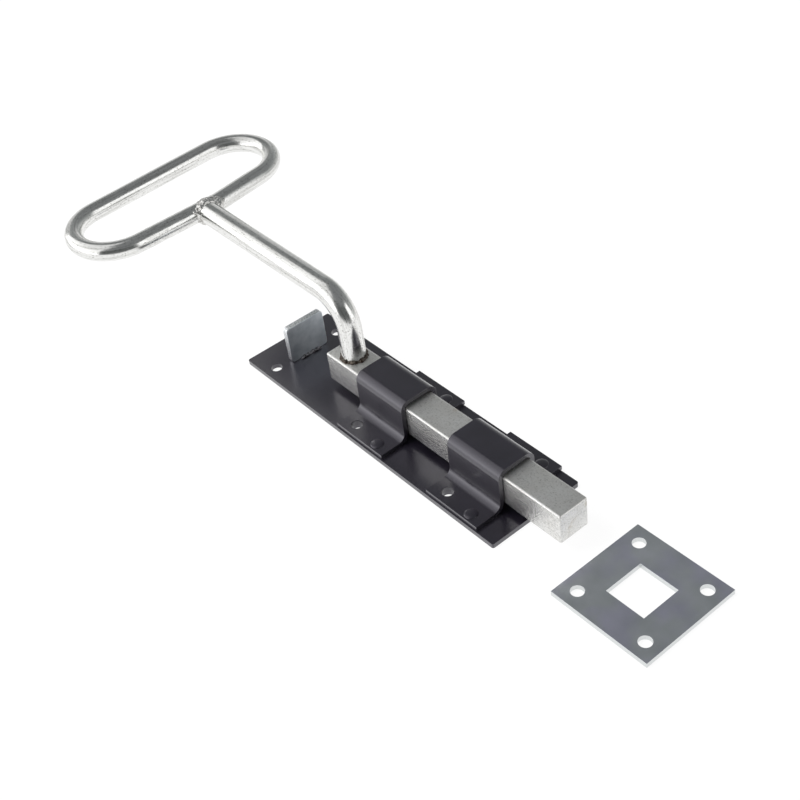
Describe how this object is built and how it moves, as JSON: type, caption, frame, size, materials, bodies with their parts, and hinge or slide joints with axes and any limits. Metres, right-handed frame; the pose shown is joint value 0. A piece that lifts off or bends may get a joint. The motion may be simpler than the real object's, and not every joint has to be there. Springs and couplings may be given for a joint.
{
  "type": "door bolt",
  "caption": "Square bar that slides in pressed guides on a long back plate, drawn by a welded bow handle, with a square keeper plate for its tip.",
  "frame": {"origin": "centre of the back plate's face that lies on the door", "axes": "+X along the bar towards its tip, +Z out of the plate, +Y across it"},
  "size_m": [0.3781, 0.1276, 0.0617],
  "materials": {
    "black_paint": "satin",
    "bar_steel": "satin",
    "bare_steel": "satin",
    "zinc_plate": "satin",
    "bright_zinc": "gloss",
    "rivet_steel": "satin",
    "weld_metal": "rough"
  },
  "bodies": {
    "mount": {"back_plate": "black_paint", "rear_guide": "black_paint", "front_guide": "black_paint", "rear_guide_rivet_near": "rivet_steel", "rear_guide_rivet_far": "rivet_steel", "front_guide_rivet_near": "rivet_steel", "front_guide_rivet_far": "rivet_steel", "stop_tab": "bare_steel", "stop_tab_front_weld": "weld_metal", "stop_tab_rear_weld": "weld_metal", "keeper_plate": "zinc_plate"},
    "bolt": {"bolt_bar": "bar_steel", "handle_stem": "bright_zinc", "stem_weld": "weld_metal", "bow_grip": "bright_zinc", "grip_weld": "weld_metal"}
  },
  "joints": [
    {"name": "bolt_slide", "type": "slide", "parent": "mount", "child": "bolt", "axis": [1, 0, 0], "range_m": [-0.0272, 0.0072]}
  ]
}
